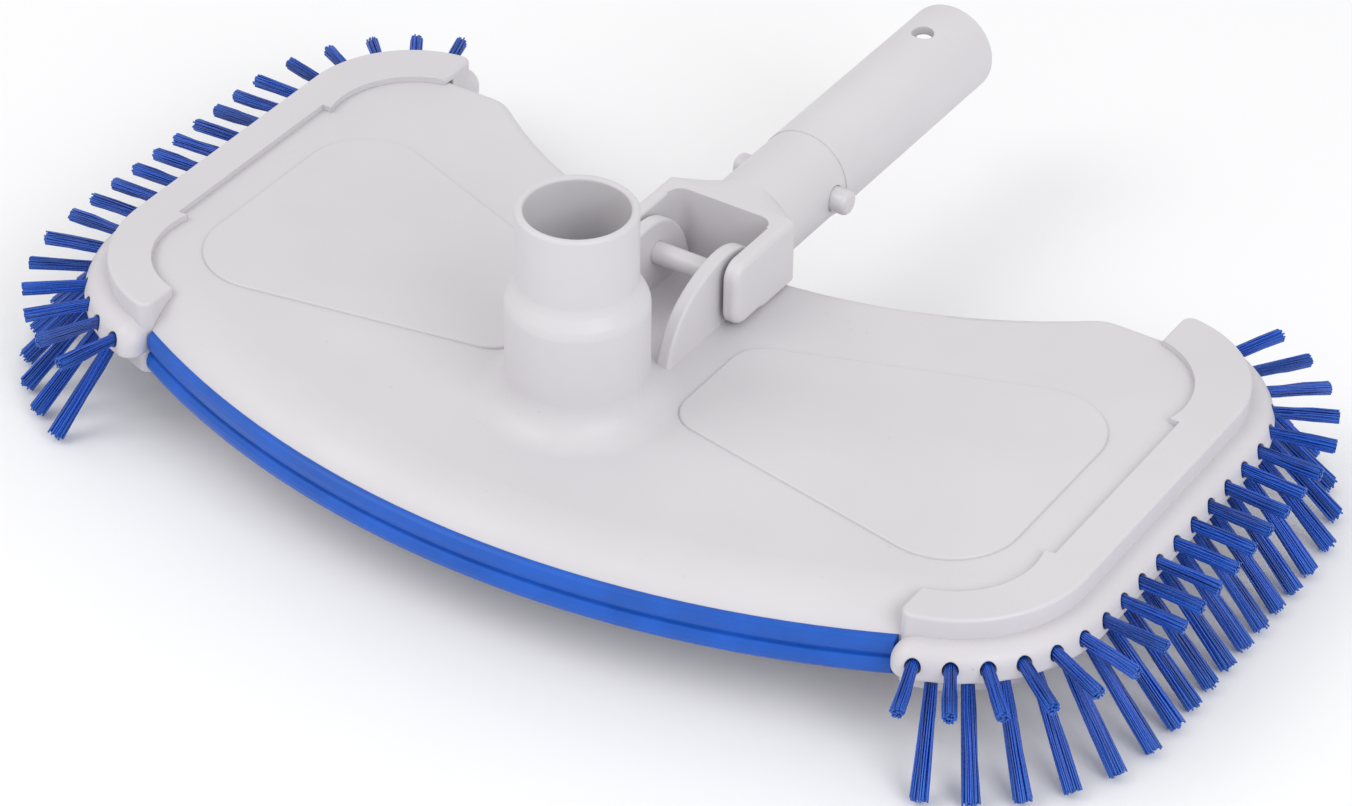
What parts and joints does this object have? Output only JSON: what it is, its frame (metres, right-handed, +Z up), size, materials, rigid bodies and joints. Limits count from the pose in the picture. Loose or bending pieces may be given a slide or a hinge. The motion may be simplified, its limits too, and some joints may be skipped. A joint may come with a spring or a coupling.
{
  "type": "manual pool vacuum head",
  "caption": "Half-moon manual pool vacuum head with side brushes, stepped hose port, front bumper and a hinged handle for a telescopic pole.",
  "frame": {"origin": "centre of the hose port's rim", "axes": "+X to the head's right along its length, +Y from the front bumper towards the pole handle, +Z up along the hose port"},
  "size_m": [0.3534, 0.2542, 0.097],
  "materials": {
    "shell_plastic": "moulded plastic, fine satin grain",
    "plate_plastic": "moulded plastic, satin",
    "holder_plastic": "moulded plastic, satin",
    "handle_plastic": "moulded plastic, satin",
    "pin_plastic": "turned acetal, satin",
    "button_plastic": "moulded nylon, satin",
    "bumper_vinyl": "soft vinyl, smooth with a slight shine",
    "bristle_nylon": "nylon filaments, cut ends",
    "weight_coating": "steel slab with a dull protective coating",
    "screw_steel": "stainless steel, turned",
    "spring_steel": "stainless spring strip, rolled"
  },
  "bodies": {
    "head": {"body_shell": "shell_plastic", "base_plate": "plate_plastic", "front_bumper": "bumper_vinyl", "left_brush_holder": "holder_plastic", "right_brush_holder": "holder_plastic", "left_upper_bristles": "bristle_nylon", "right_upper_bristles": "bristle_nylon", "left_lower_bristles": "bristle_nylon", "right_lower_bristles": "bristle_nylon", "front_floor_bristles": "bristle_nylon", "rear_floor_bristles": "bristle_nylon", "left_weight": "weight_coating", "right_weight": "weight_coating", "base_plate_screws": "screw_steel", "holder_screws": "screw_steel"},
    "handle": {"handle": "handle_plastic", "hinge_pin": "pin_plastic", "v_spring": "spring_steel"},
    "left_button": {"left_lock_button": "button_plastic"},
    "right_button": {"right_lock_button": "button_plastic"}
  },
  "joints": [
    {"name": "handle_hinge", "type": "hinge", "parent": "head", "child": "handle", "pos_m": [0, 0.053, -0.047], "axis": [1, 0, 0], "range_deg": [0, 110]},
    {"name": "left_button_press", "type": "slide", "parent": "handle", "child": "left_button", "axis": [1, 0, 0], "range_m": [0, 0.0048], "stiffness_N_per_m": 800, "springref_m": -0.003, "deforming": ["v_spring"]},
    {"name": "right_button_press", "type": "slide", "parent": "handle", "child": "right_button", "axis": [-1, 0, 0], "range_m": [0, 0.0048], "stiffness_N_per_m": 800, "springref_m": -0.003}
  ]
}
